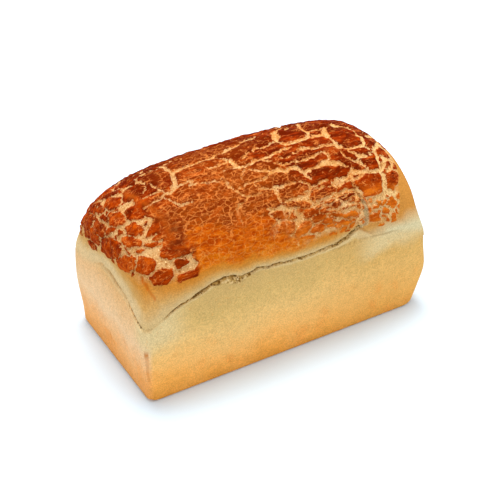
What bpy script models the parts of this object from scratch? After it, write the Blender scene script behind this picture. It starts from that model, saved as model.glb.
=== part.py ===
"""Tin loaf with a cracked rice-paste crust.

One uncut loaf, modelled as one solid in metres with +Z up. It stands on its
flat base at z = 0 with its middle at x = y = 0 and its length along X.

The loaf starts as a cube cut into a grid. The sides of the cube become the
tapered walls that the tin gave the dough. The top of the cube becomes the
domed crust, and the cube's top edges become the tear, where the dough rose
over the rim of the tin and pulled away from the wall. The raised plates of the
cracked crust are cells round scattered seeds, with a groove along each border.
"""

import itertools

import bmesh
import bpy
import numpy as np

# Overall size of the loaf
LENGTH = 0.250
WIDTH = 0.1287
HEIGHT = 0.1502

# Walls, as the tin left them
BASE_ROUND = 0.0025
CORNER_ROUND = 0.0135
RIM_CORNER_ROUND = 0.0060
NEAR_CORNER_ROUND = 0.0060
RIM_CORNER_HEIGHT = 0.055
RIM_CORNER_BAND = 0.042
TIGHT_ROUND = 0.0040
TIGHT_HEIGHT = 0.036
TIGHT_BAND = 0.018
TAPER_ENDS = 0.0025
TAPER_SIDES = 0.0018
BASE_SHIFT = -0.0015
END_ROUND = 0.0150
RIM_HEIGHT = 0.085
WALL_SINK = 0.0006

# Height of the tear at the corners, in mid side and in mid end
TEAR_CORNER = 0.068
TEAR_SIDE = 0.0895
TEAR_END = 0.080

# The front tear wanders: its height at places along X, with the curl at 57 mm
FRONT_TEAR = (
    (-0.126, 0.0675), (-0.113, 0.0750), (-0.096, 0.0830), (-0.080, 0.0880),
    (-0.060, 0.0935), (-0.046, 0.0900), (-0.033, 0.0920), (-0.004, 0.0882),
    (0.030, 0.0880), (0.047, 0.0910), (0.057, 0.0970), (0.068, 0.0890),
    (0.082, 0.0830), (0.126, 0.0660),
)
# The same for the left end: its height at places along Y
LEFT_TEAR = (
    (-0.066, 0.0670), (-0.056, 0.0670), (-0.040, 0.0720), (-0.030, 0.0765), (0.000, 0.0810),
    (0.014, 0.0805), (0.030, 0.0730), (0.046, 0.0680), (0.066, 0.0680),
)
TEAR_DEPTH = 0.0022
TEAR_LIP = 0.0005
TEAR_RAGGED = 0.0016

# The dome: 2 would be an ellipse and a larger number is squarer
DOME_ALONG = 3.17
DOME_ACROSS = 2.03
DOME_SKEW = 0.0011
DOME_LUMPS = 0.0009

# The two ends bulge over the middle of the wall, draw in above the tear and
# bulge again at the dome's shoulder: height, how far out, and how tall a band
RIGHT_BULGES = (
    (0.014, 0.0017, 0.010), (0.036, 0.0040, 0.016), (0.058, 0.0007, 0.022),
    (0.086, -0.0036, 0.013), (0.108, 0.0012, 0.015), (0.128, 0.0036, 0.015),
)
LEFT_BULGES = (
    (0.040, 0.0012, 0.018), (0.062, 0.0003, 0.022), (0.086, -0.0042, 0.013),
    (0.104, -0.0017, 0.014), (0.124, 0.0016, 0.015),
)

# The cracked crust
PLATE_THICKNESS = 0.0011
PLATE_SPACING = 0.0098
PLATE_STRETCH = 1.9
STRETCH_REACH = 0.060
CRACK_HALF = 0.0010
CRUST_MARGIN = 0.015
SEED = 41

# The fold on the front, above the curl in the tear
FOLD_X = 0.060
FOLD_WIDTH = 0.0045
FOLD_DEPTH = 0.0014

# Grid of the cube and triangles left in the solid
CUTS_ALONG = 150
CUTS_ACROSS = 112
CUTS_UP = (0.05, 0.10, 0.16, 0.30, 0.46, 0.62, 0.76, 0.86, 0.925, 0.96, 0.982)
BASE_PART = 0.10
TRIANGLES = 11400

HALF_LENGTH = LENGTH / 2
HALF_WIDTH = WIDTH / 2


def ramp(low, high, value):
    """Rise smoothly from 0 at low to 1 at high."""
    t = np.clip((value - low) / (high - low), 0.0, 1.0)
    return t * t * (3.0 - 2.0 * t)


def soft_noise(points, size, seed):
    """Smooth noise between -1 and 1 with lumps of about the given size."""
    table = np.random.default_rng(seed).uniform(-1.0, 1.0, 4096)
    scaled = points / size
    cell = np.floor(scaled).astype(int)
    part = scaled - cell
    part = part * part * (3.0 - 2.0 * part)
    total = np.zeros(len(points))
    for corner in itertools.product((0, 1), repeat=3):
        key = cell + np.array(corner)
        index = (key[:, 0] * 73 + key[:, 1] * 179 + key[:, 2] * 283) % 4096
        weight = np.prod(np.where(corner, part, 1.0 - part), axis=1)
        total += weight * table[index]
    return total


def dome_profile(exponent, half, rise):
    """Quarter superellipse by length of arc: returns out and up at a share."""
    angle = np.linspace(0.0, np.pi / 2, 500)
    out = np.cos(angle) ** (2.0 / exponent)
    up = np.sin(angle) ** (2.0 / exponent)
    out[-1] = 0.0
    up[0] = 0.0
    step = np.hypot(np.diff(out) * half, np.diff(up) * rise)
    share = np.concatenate([[0.0], np.cumsum(step)]) / step.sum()

    def at(s):
        return np.interp(s, share, out), np.interp(s, share, up)

    return at


ALONG = dome_profile(DOME_ALONG, HALF_LENGTH, HEIGHT - TEAR_END)
ACROSS = dome_profile(DOME_ACROSS, HALF_WIDTH, HEIGHT - TEAR_SIDE)


def even_tear(x, y):
    """The even tear line, low at the corners, carried inwards under the dome."""
    ex = np.minimum(np.abs(x) / HALF_LENGTH, 1.0)
    ey = np.minimum(np.abs(y) / HALF_WIDTH, 1.0)
    sides = (TEAR_SIDE - TEAR_CORNER) * (1.0 - ex ** 4.5) * ey ** 2
    ends = (TEAR_END - TEAR_CORNER) * (1.0 - ramp(0.20, 0.85, ey)) * ex ** 2
    return TEAR_CORNER + sides + ends


def tear_height(x, y):
    """The even line, moved to the wandering one near the front and left walls."""
    front_x, front_z = np.array(FRONT_TEAR).T
    left_y, left_z = np.array(LEFT_TEAR).T
    to_front = np.interp(x, front_x, front_z) - even_tear(x, -HALF_WIDTH + 0.0 * x)
    to_left = np.interp(y, left_y, left_z) - even_tear(-HALF_LENGTH + 0.0 * y, y)
    near_front = ramp(-0.70 * HALF_WIDTH, -0.97 * HALF_WIDTH, y)
    near_left = ramp(-0.85 * HALF_LENGTH, -0.98 * HALF_LENGTH, x)
    near_left = near_left * (1.0 - near_front)
    return even_tear(x, y) + to_front * near_front + to_left * near_left


def round_corners(x, y, half_x, half_y, radius):
    """Bend the four corners of the plan to a quarter circle."""
    p = np.clip((np.abs(x) - (half_x - radius)) / radius, 0.0, 1.0)
    q = np.clip((np.abs(y) - (half_y - radius)) / radius, 0.0, 1.0)
    corner = (p > 0.0) & (q > 0.0)
    bent_x = half_x - radius + radius * p * np.sqrt(1.0 - q * q / 2.0)
    bent_y = half_y - radius + radius * q * np.sqrt(1.0 - p * p / 2.0)
    new_x = np.where(corner, bent_x, np.abs(x))
    new_y = np.where(corner, bent_y, np.abs(y))
    return np.sign(x) * new_x, np.sign(y) * new_y


def loaf_form(u, v, w):
    """Place cube coordinates (-1 to 1, -1 to 1, 0 to 1) on the plain loaf."""
    out_x, up_x = ALONG(1.0 - np.abs(u))
    out_y, up_y = ACROSS(1.0 - np.abs(v))
    turn = np.clip(w / BASE_PART, 0.0, 1.0) * np.pi / 2
    inset = BASE_ROUND * (1.0 - np.sin(turn))
    half_x = HALF_LENGTH - inset * END_ROUND / BASE_ROUND
    half_y = HALF_WIDTH - inset
    x = np.sign(u) * half_x * out_x
    y = np.sign(v) * half_y * out_y
    tear = tear_height(x, y)
    foot = BASE_ROUND * (1.0 - np.cos(turn))
    climb = np.clip((w - BASE_PART) / (1.0 - BASE_PART), 0.0, 1.0)
    wall = foot + (tear - BASE_ROUND) * climb
    dome = tear + (HEIGHT - tear) * up_x * up_y
    top = w > 0.9999
    bottom = w < 0.0001
    z = np.where(top, dome, np.where(bottom, 0.0, wall))
    at_rim = np.exp(-(((z - RIM_CORNER_HEIGHT) / RIM_CORNER_BAND) ** 2))
    radius = CORNER_ROUND + (RIM_CORNER_ROUND - CORNER_ROUND) * at_rim
    radius = np.where((u < 0.0) & (v < 0.0), NEAR_CORNER_ROUND, radius)
    tight = np.exp(-(((z - TIGHT_HEIGHT) / TIGHT_BAND) ** 2)) * (u > 0.0) * (v < 0.0)
    radius = radius + (TIGHT_ROUND - radius) * tight
    x, y = round_corners(x, y, half_x, half_y, radius - inset)
    below = np.clip(1.0 - z / RIM_HEIGHT, 0.0, 1.0)
    x = x * (1.0 - TAPER_ENDS / HALF_LENGTH * below) + BASE_SHIFT * below
    y = y * (1.0 - TAPER_SIDES / HALF_WIDTH * below)
    risen = np.clip((z - TEAR_CORNER) / (HEIGHT - TEAR_CORNER), 0.0, 1.0)
    y = y + DOME_SKEW * risen
    for height, out, band in RIGHT_BULGES:
        x = x + out * ramp(0.5, 1.0, u) * np.exp(-(((z - height) / band) ** 2))
    for height, out, band in LEFT_BULGES:
        x = x - out * ramp(0.5, 1.0, -u) * np.exp(-(((z - height) / band) ** 2))
    return np.stack([x, y, z], axis=1)


def outward(points):
    """Direction away from the loaf's core, for raising the crust."""
    core = points.copy()
    core[:, 0] = np.clip(core[:, 0], -0.078, 0.078)
    core[:, 1] = np.clip(core[:, 1], -0.010, 0.010)
    core[:, 2] = np.minimum(core[:, 2], 0.088)
    away = points - core
    length = np.linalg.norm(away, axis=1, keepdims=True)
    return away / np.maximum(length, 1e-6)


def crust_space(points):
    """Squeeze X in mid loaf, so that cells there come out long and narrow."""
    x = points[:, 0]
    middle = np.clip(x, -STRETCH_REACH, STRETCH_REACH)
    squeezed = middle / PLATE_STRETCH + (x - middle)
    return np.stack([squeezed, points[:, 1], points[:, 2]], axis=1)


def plate_seeds():
    """Scatter the plates' middles over the dome, none too close to another."""
    rng = np.random.default_rng(SEED)
    tries = rng.uniform(-1.0, 1.0, (5200, 2))
    spots = loaf_form(tries[:, 0], tries[:, 1], np.ones(len(tries)))
    spots = crust_space(spots)
    room = PLATE_SPACING * rng.uniform(0.72, 1.28, len(spots))
    kept = spots[:1]
    for spot, gap in zip(spots[1:], room[1:]):
        if np.min(np.sum((kept - spot) ** 2, axis=1)) > gap * gap:
            kept = np.vstack([kept, spot])
    return kept


def plate_depth(points, seeds):
    """How far inside its plate each point lies; negative in a crack."""
    place = crust_space(points)
    for size, strength, seed in ((0.011, 0.0017, 5), (0.005, 0.0008, 9)):
        for axis in range(3):
            place[:, axis] += strength * soft_noise(points, size, seed + axis)
    depth = np.empty(len(points))
    for start in range(0, len(points), 4000):
        some = place[start:start + 4000]
        square = np.sum((some[:, None, :] - seeds[None, :, :]) ** 2, axis=2)
        near = np.argpartition(square, 8, axis=1)[:, :9]
        rank = np.take_along_axis(square, near, axis=1).argsort(axis=1)
        near = np.take_along_axis(near, rank, axis=1)
        own = seeds[near[:, :1]]
        other = seeds[near[:, 1:]]
        apart = other - own
        gap = np.linalg.norm(apart, axis=2)
        middle = (own + other) / 2.0
        border = np.sum((middle - some[:, None, :]) * apart, axis=2) / gap
        pair = near[:, :1] * near[:, 1:] % 17 / 16.0
        half = CRACK_HALF * (0.45 + 1.3 * pair * pair)
        depth[start:start + 4000] = np.min(border - half, axis=1)
    return depth


def crust_lift(points, seeds):
    """Height of the plates over the plain dome."""
    tear = tear_height(points[:, 0], points[:, 1])
    above = points[:, 2] - tear
    above = above + 0.004 * soft_noise(points, 0.016, 71)
    cover = ramp(0.6 * CRUST_MARGIN, 1.25 * CRUST_MARGIN, above)
    depth = plate_depth(points, seeds) - 0.004 * (1.0 - cover)
    return PLATE_THICKNESS * ramp(-0.0003, 0.0011, depth) * (cover > 0.0)


def torn(points):
    """1 where the dough tore from the wall, near 0 where it only folded."""
    right = ramp(0.052, 0.076, points[:, 0])
    front = ramp(0.040, -0.040, points[:, 1])
    far_left = ramp(-0.085, -0.105, points[:, 0]) * ramp(0.0, 0.04, points[:, 1])
    return (1.0 - 0.9 * right * front) * (1.0 - 0.7 * far_left)


def tear_relief(points, w):
    """Sink the wall under the tear and push out the ragged lip above it."""
    tear = tear_height(points[:, 0], points[:, 1])
    strength = torn(points)
    ragged = 1.0 + 0.75 * soft_noise(points, 0.009, 23)
    below = tear - points[:, 2]
    wall = w < 0.9999
    notch = np.exp(-(((below - 0.0022) / 0.0017) ** 2))
    sink = -TEAR_DEPTH * ragged * notch * wall
    sunk_wall = -WALL_SINK * ramp(0.26, 0.62, points[:, 2] / tear) * wall
    lip = TEAR_LIP * ragged * np.exp(-((below / 0.005) ** 2)) * ~wall
    return strength * (sink + sunk_wall + lip)


def shape_loaf(cube_points):
    """Turn the points of the cut cube into the points of the loaf."""
    u = cube_points[:, 0]
    v = cube_points[:, 1]
    w = (cube_points[:, 2] + 1.0) / 2.0
    points = loaf_form(u, v, w)
    away = outward(points)
    flat = away * np.array([1.0, 1.0, 0.0])
    flat /= np.maximum(np.linalg.norm(flat, axis=1, keepdims=True), 1e-6)
    edge = (np.maximum(np.abs(u), np.abs(v)) > 0.9999) & (w > 0.0001)
    dome = w > 0.9999
    rise = np.where(dome & ~edge, crust_lift(points, plate_seeds()), 0.0)
    lumps = DOME_LUMPS * soft_noise(points, 0.034, 3) * dome * ~edge
    sideways = tear_relief(points, w) * (w > 0.15)
    fold_line = np.exp(-(((points[:, 0] - FOLD_X) / FOLD_WIDTH) ** 2))
    fold_reach = (points[:, 1] < -0.02) * ramp(0.130, 0.105, points[:, 2])
    fold = -FOLD_DEPTH * fold_line * fold_reach * dome
    ragged = TEAR_RAGGED * soft_noise(points, 0.0075, 31) * (w > 0.9)
    to_tear = points[:, 2] - tear_height(points[:, 0], points[:, 1])
    ragged *= torn(points) * np.exp(-((to_tear / 0.006) ** 2))
    shaped = points + away * (rise + lumps + fold)[:, None]
    shaped += flat * sideways[:, None]
    shaped[:, 2] += ragged
    return shaped


def cut_cube():
    """A cube from -1 to 1, cut by planes into the grid that is shaped."""
    cube = bmesh.new()
    bmesh.ops.create_cube(cube, size=2.0)
    stations = [(0, s) for s in np.linspace(-1.0, 1.0, CUTS_ALONG + 1)[1:-1]]
    stations += [(1, s) for s in np.linspace(-1.0, 1.0, CUTS_ACROSS + 1)[1:-1]]
    stations += [(2, 2.0 * s - 1.0) for s in CUTS_UP]
    for axis, place in stations:
        point = [0.0, 0.0, 0.0]
        point[axis] = float(place)
        normal = [0.0, 0.0, 0.0]
        normal[axis] = 1.0
        everything = cube.verts[:] + cube.edges[:] + cube.faces[:]
        bmesh.ops.bisect_plane(cube, geom=everything, dist=1e-7,
                               plane_co=point, plane_no=normal)
    return cube


def crust_material():
    """Baked crust: the middle colour of the browned plates and pale walls."""
    material = bpy.data.materials.new("baked_crust")
    material.use_nodes = True
    shader = material.node_tree.nodes["Principled BSDF"]
    shader.inputs["Base Color"].default_value = (0.60, 0.28, 0.07, 1.0)
    shader.inputs["Roughness"].default_value = 0.62
    shader.inputs["Metallic"].default_value = 0.0
    return material


def make_loaf(collection):
    cube = cut_cube()
    cube_points = np.array([vert.co[:] for vert in cube.verts])
    loaf_points = shape_loaf(cube_points)
    low = loaf_points.min(axis=0)
    high = loaf_points.max(axis=0)
    loaf_points[:, :2] -= (low[:2] + high[:2]) / 2.0
    for vert, place in zip(cube.verts, loaf_points):
        vert.co = place
    bmesh.ops.triangulate(cube, faces=cube.faces[:])
    whole = len(cube.faces)
    mesh = bpy.data.meshes.new("tin_loaf")
    cube.to_mesh(mesh)
    cube.free()
    mesh.shade_smooth()
    mesh.materials.append(crust_material())
    loaf = bpy.data.objects.new("tin_loaf", mesh)
    collection.objects.link(loaf)
    thin = loaf.modifiers.new("fewer_triangles", "DECIMATE")
    thin.ratio = TRIANGLES / whole
    return loaf


for leftover in list(bpy.data.objects):
    bpy.data.objects.remove(leftover, do_unlink=True)

loaf_collection = bpy.data.collections.new("tin_loaf")
bpy.context.scene.collection.children.link(loaf_collection)
make_loaf(loaf_collection)
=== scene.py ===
# %% [markdown]
# # A tin loaf with a cracked crust
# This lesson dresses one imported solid, an uncut tin loaf. The loaf is one
# piece of bread, so nearly all the work is in its skin: pale walls that the
# tin shaped, a ragged tear where the dough rose over the rim, and a dome that
# was brushed with rice paste. The paste can't stretch as the dough does, so it
# breaks into raised red-brown plates with pale dough showing between them.

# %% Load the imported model
import itertools
import math

import bpy
import numpy as np
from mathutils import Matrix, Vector


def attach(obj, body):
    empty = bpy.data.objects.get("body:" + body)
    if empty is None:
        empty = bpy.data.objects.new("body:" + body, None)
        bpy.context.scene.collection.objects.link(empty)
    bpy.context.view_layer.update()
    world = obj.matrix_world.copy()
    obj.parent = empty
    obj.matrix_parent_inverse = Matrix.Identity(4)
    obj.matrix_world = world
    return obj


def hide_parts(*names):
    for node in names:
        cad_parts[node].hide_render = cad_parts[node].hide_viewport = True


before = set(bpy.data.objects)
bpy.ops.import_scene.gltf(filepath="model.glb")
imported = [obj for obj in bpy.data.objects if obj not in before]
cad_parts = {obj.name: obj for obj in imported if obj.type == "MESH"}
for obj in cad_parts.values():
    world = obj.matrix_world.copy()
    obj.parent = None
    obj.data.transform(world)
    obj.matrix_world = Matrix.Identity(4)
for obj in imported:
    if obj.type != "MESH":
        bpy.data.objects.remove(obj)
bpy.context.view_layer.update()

scene = bpy.context.scene

# %% [markdown]
# ## Sizes
# The form is the one that the solid has, so that the dressed loaf stays in
# its box: walls, tear and dome follow the same named sizes, in metres. What
# changes here is the fineness. The solid keeps about eleven thousand
# triangles and this skin has some hundred and eighty thousand, which is
# enough for the edge of each plate to stand up as a real step.

# %% Name the loaf's sizes
LENGTH, WIDTH, HEIGHT = 0.250, 0.1287, 0.1502
HALF_LENGTH, HALF_WIDTH = LENGTH / 2, WIDTH / 2
BASE_ROUND, END_ROUND, BASE_PART = 0.0025, 0.0150, 0.10
CORNER_ROUND, RIM_CORNER_ROUND, NEAR_CORNER_ROUND = 0.0135, 0.0060, 0.0060
RIM_CORNER_HEIGHT, RIM_CORNER_BAND = 0.055, 0.042
TIGHT_ROUND, TIGHT_HEIGHT, TIGHT_BAND = 0.0040, 0.036, 0.018
TAPER_ENDS, TAPER_SIDES, BASE_SHIFT, RIM_HEIGHT = 0.0025, 0.0018, -0.0015, 0.085
TEAR_CORNER, TEAR_SIDE, TEAR_END = 0.068, 0.0895, 0.080
DOME_ALONG, DOME_ACROSS, DOME_SKEW = 3.17, 2.03, 0.0011
MIDDLE = np.array([0.0007, 0.0002, 0.0])

# how far the two ends bulge: height, how far out, and how tall a band
RIGHT_BULGES = [
    (0.014, 0.0017, 0.010), (0.036, 0.0040, 0.016), (0.058, 0.0007, 0.022),
    (0.086, -0.0036, 0.013), (0.108, 0.0012, 0.015), (0.128, 0.0036, 0.015)]
LEFT_BULGES = [
    (0.040, 0.0012, 0.018), (0.062, 0.0003, 0.022), (0.086, -0.0042, 0.013),
    (0.104, -0.0017, 0.014), (0.124, 0.0016, 0.015)]

# height of the tear at places along the front, with a curl at 57 mm
FRONT_TEAR = np.array([
    (-0.126, 0.0675), (-0.113, 0.0750), (-0.096, 0.0830), (-0.080, 0.0880),
    (-0.060, 0.0935), (-0.046, 0.0900), (-0.033, 0.0920), (-0.004, 0.0882),
    (0.030, 0.0880), (0.047, 0.0910), (0.057, 0.0970), (0.068, 0.0890),
    (0.082, 0.0830), (0.126, 0.0660)])
# the soft crease that starts below that curl and runs on to the right
LOWER_CREASE = np.array([
    (0.030, 0.0850), (0.044, 0.0850), (0.059, 0.0850), (0.070, 0.0844), (0.082, 0.0829),
    (0.092, 0.0819), (0.107, 0.0785), (0.117, 0.0755), (0.126, 0.0745)])
# and the tear along the left end
LEFT_TEAR = np.array([
    (-0.066, 0.0670), (-0.056, 0.0670), (-0.040, 0.0720), (-0.030, 0.0765),
    (0.000, 0.0810), (0.014, 0.0805), (0.030, 0.0730), (0.046, 0.0680),
    (0.066, 0.0680)])

# %% [markdown]
# ## Two helpers for soft shapes
# Bread has no sharp rules, so most edges here are a smooth ramp and most
# surfaces carry some noise. Noise of fixed seeds gives the same loaf at each
# run. `stretch` makes lumps longer along the loaf than across it.

# %% Ramp and noise
def ramp(low, high, value):
    t = np.clip((value - low) / (high - low), 0.0, 1.0)
    return t * t * (3.0 - 2.0 * t)


def soft_noise(points, size, seed, stretch=1.0):
    table = np.random.default_rng(seed).uniform(-1.0, 1.0, 4096)
    scaled = points / np.array([size * stretch, size, size])
    cell = np.floor(scaled).astype(int)
    part = scaled - cell
    part = part * part * (3.0 - 2.0 * part)
    total = np.zeros(len(points))
    for corner in itertools.product((0, 1), repeat=3):
        key = cell + np.array(corner)
        index = (key[:, 0] * 73 + key[:, 1] * 179 + key[:, 2] * 283) % 4096
        total += np.prod(np.where(corner, part, 1.0 - part), axis=1) * table[index]
    return total


# %% [markdown]
# ## The plain form
# A tin loaf could be sculpted, or lofted through sections. Here a square
# sheet is bent by functions instead, because the plates, the tear and the
# colours all need to know where on the loaf they are. The sheet's two
# directions, u and v, run from rim to rim over the dome, and w runs up the
# wall from 0 at the base to 1 at the tear. The dome is a superellipse, laid
# out by length of arc so that the mesh stays even.

# %% The tear line
def even_tear(x, y):
    ex = np.minimum(np.abs(x) / HALF_LENGTH, 1.0)
    ey = np.minimum(np.abs(y) / HALF_WIDTH, 1.0)
    sides = (TEAR_SIDE - TEAR_CORNER) * (1.0 - ex ** 4.5) * ey ** 2
    ends = (TEAR_END - TEAR_CORNER) * (1.0 - ramp(0.20, 0.85, ey)) * ex ** 2
    return TEAR_CORNER + sides + ends


def tear_height(x, y):
    to_front = np.interp(x, *FRONT_TEAR.T) - even_tear(x, -HALF_WIDTH + 0.0 * x)
    to_left = np.interp(y, *LEFT_TEAR.T) - even_tear(-HALF_LENGTH + 0.0 * y, y)
    near_front = ramp(-0.70 * HALF_WIDTH, -0.97 * HALF_WIDTH, y)
    near_left = ramp(-0.85 * HALF_LENGTH, -0.98 * HALF_LENGTH, x) * (1.0 - near_front)
    return even_tear(x, y) + to_front * near_front + to_left * near_left


for x in (-0.12, 0.0, 0.057):
    print("front tear at %.0f mm: %.1f mm" % (x * 1000, tear_height(x, -HALF_WIDTH) * 1000))


# %% The dome's profiles and the rounded corners
def dome_profile(exponent, half, rise):
    angle = np.linspace(0.0, np.pi / 2, 500)
    out = np.cos(angle) ** (2.0 / exponent)
    up = np.sin(angle) ** (2.0 / exponent)
    out[-1], up[0] = 0.0, 0.0
    step = np.hypot(np.diff(out) * half, np.diff(up) * rise)
    share = np.concatenate([[0.0], np.cumsum(step)]) / step.sum()
    print("arc from rim to crown: %.0f mm" % (step.sum() * 1000))
    return lambda s: (np.interp(s, share, out), np.interp(s, share, up))


ALONG = dome_profile(DOME_ALONG, HALF_LENGTH, HEIGHT - TEAR_END)
ACROSS = dome_profile(DOME_ACROSS, HALF_WIDTH, HEIGHT - TEAR_SIDE)


def round_corners(x, y, half_x, half_y, radius):
    p = np.clip((np.abs(x) - (half_x - radius)) / radius, 0.0, 1.0)
    q = np.clip((np.abs(y) - (half_y - radius)) / radius, 0.0, 1.0)
    corner = (p > 0.0) & (q > 0.0)
    bent_x = half_x - radius + radius * p * np.sqrt(1.0 - q * q / 2.0)
    bent_y = half_y - radius + radius * q * np.sqrt(1.0 - p * p / 2.0)
    return (np.sign(x) * np.where(corner, bent_x, np.abs(x)),
            np.sign(y) * np.where(corner, bent_y, np.abs(y)))


# %% From the sheet to the loaf
# w above this is the dome
NEARLY_ONE = 0.9999


def loaf_form(u, v, w):
    out_x, up_x = ALONG(1.0 - np.abs(u))
    out_y, up_y = ACROSS(1.0 - np.abs(v))
    turn = np.clip(w / BASE_PART, 0.0, 1.0) * np.pi / 2
    inset = BASE_ROUND * (1.0 - np.sin(turn))
    half_x = HALF_LENGTH - inset * END_ROUND / BASE_ROUND
    half_y = HALF_WIDTH - inset
    x, y = np.sign(u) * half_x * out_x, np.sign(v) * half_y * out_y
    tear = tear_height(x, y)
    foot = BASE_ROUND * (1.0 - np.cos(turn))
    climb = np.clip((w - BASE_PART) / (1.0 - BASE_PART), 0.0, 1.0)
    wall = foot + (tear - BASE_ROUND) * climb
    dome = tear + (HEIGHT - tear) * up_x * up_y
    z = np.where(w > NEARLY_ONE, dome, np.where(w < 1.0 - NEARLY_ONE, 0.0, wall))
    at_rim = np.exp(-(((z - RIM_CORNER_HEIGHT) / RIM_CORNER_BAND) ** 2))
    radius = CORNER_ROUND + (RIM_CORNER_ROUND - CORNER_ROUND) * at_rim
    radius = np.where((u < 0.0) & (v < 0.0), NEAR_CORNER_ROUND, radius)
    tight = np.exp(-(((z - TIGHT_HEIGHT) / TIGHT_BAND) ** 2)) * (u > 0.0) * (v < 0.0)
    radius = radius + (TIGHT_ROUND - radius) * tight
    x, y = round_corners(x, y, half_x, half_y, radius - inset)
    below = np.clip(1.0 - z / RIM_HEIGHT, 0.0, 1.0)
    x = x * (1.0 - TAPER_ENDS / HALF_LENGTH * below) + BASE_SHIFT * below
    y = y * (1.0 - TAPER_SIDES / HALF_WIDTH * below)
    risen = np.clip((z - TEAR_CORNER) / (HEIGHT - TEAR_CORNER), 0.0, 1.0)
    y = y + DOME_SKEW * risen
    for height, out, band in RIGHT_BULGES:
        x = x + out * ramp(0.5, 1.0, u) * np.exp(-(((z - height) / band) ** 2))
    for height, out, band in LEFT_BULGES:
        x = x - out * ramp(0.5, 1.0, -u) * np.exp(-(((z - height) / band) ** 2))
    return np.stack([x, y, z], axis=1)


# half sizes and top of the bar inside the loaf that the skin points away from
CORE_ALONG, CORE_ACROSS, CORE_TOP = 0.078, 0.010, 0.088


def outward(points):
    core = points.copy()
    core[:, 0] = np.clip(core[:, 0], -CORE_ALONG, CORE_ALONG)
    core[:, 1] = np.clip(core[:, 1], -CORE_ACROSS, CORE_ACROSS)
    core[:, 2] = np.minimum(core[:, 2], CORE_TOP)
    away = points - core
    return away / np.maximum(np.linalg.norm(away, axis=1, keepdims=True), 1e-6)


# %% [markdown]
# ## The sheet, by hand
# The sheet is a grid primitive, which becomes the dome. Its rim is extruded
# downwards again and again for the walls, with short steps near the tear,
# where the shape is ragged, and longer ones on the smooth wall. Filling the
# last loop closes the base with one flat face. A subdivided cube would also
# do, but it would waste a third of its faces under the loaf.

# %% Make the grid and extrude its rim down the walls
ALONG_FACES, ACROSS_FACES = 300, 220
WALL_STATIONS = (0.9955, 0.990, 0.984, 0.977, 0.969, 0.959, 0.945, 0.925, 0.90, 0.865,
                 0.82, 0.765, 0.70, 0.62, 0.54, 0.46, 0.38, 0.30, 0.22, 0.15,
                 0.10, 0.07, 0.035, 0.0)

bpy.ops.object.select_all(action="DESELECT")
bpy.ops.mesh.primitive_grid_add(x_subdivisions=ALONG_FACES, y_subdivisions=ACROSS_FACES,
                                size=2.0, location=(0.0, 0.0, 1.0))
loaf = bpy.context.active_object
loaf.name = "loaf_crust"
bpy.ops.object.transform_apply(location=True)
bpy.ops.object.mode_set(mode="EDIT")
bpy.ops.mesh.select_all(action="SELECT")
bpy.ops.mesh.region_to_loop()
height = 1.0
for station in WALL_STATIONS:
    bpy.ops.mesh.extrude_region_move(
        TRANSFORM_OT_translate={"value": (0.0, 0.0, station - height)})
    height = station
bpy.ops.mesh.edge_face_add()
bpy.ops.mesh.select_all(action="SELECT")
bpy.ops.mesh.normals_make_consistent(inside=False)
bpy.ops.object.mode_set(mode="OBJECT")
mesh = loaf.data
mesh.name = "loaf_crust"
sheet = np.empty(len(mesh.vertices) * 3)
mesh.vertices.foreach_get("co", sheet)
sheet = sheet.reshape(-1, 3).astype(float)
print("sheet has", len(mesh.vertices), "points and", len(mesh.polygons), "faces")

# %% Lay the sheet on the plain loaf
across_x, across_y, up_wall = np.clip(sheet, -1.0, 1.0).T
plain = loaf_form(across_x, across_y, up_wall)
loaf_x, loaf_y, loaf_z = plain.T
on_dome = up_wall > NEARLY_ONE
rim_edge = on_dome & (np.maximum(np.abs(across_x), np.abs(across_y)) > NEARLY_ONE)
above_tear = loaf_z - tear_height(loaf_x, loaf_y)
crease_height = np.interp(loaf_x, *LOWER_CREASE.T)
to_crease = ramp(0.046, 0.060, loaf_x) * ramp(0.060, 0.010, loaf_y)
above_line = above_tear + (loaf_z - crease_height - above_tear) * to_crease
print("plain loaf", plain.min(axis=0).round(4), plain.max(axis=0).round(4))

# %% [markdown]
# ## Where the plates lie
# Each plate is an island of dried paste, kept as five small numbers: its place
# on the sheet in hundredths of u and v, its half length and half width in
# millimetres, and how far it is turned from the loaf's length in degrees. The
# two ends and the lower front are laid out plate by plate, as they are on the
# loaf: round plates with wide gaps at the left, small torn ones low on the
# front, and scattered islands at the right.

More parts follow.
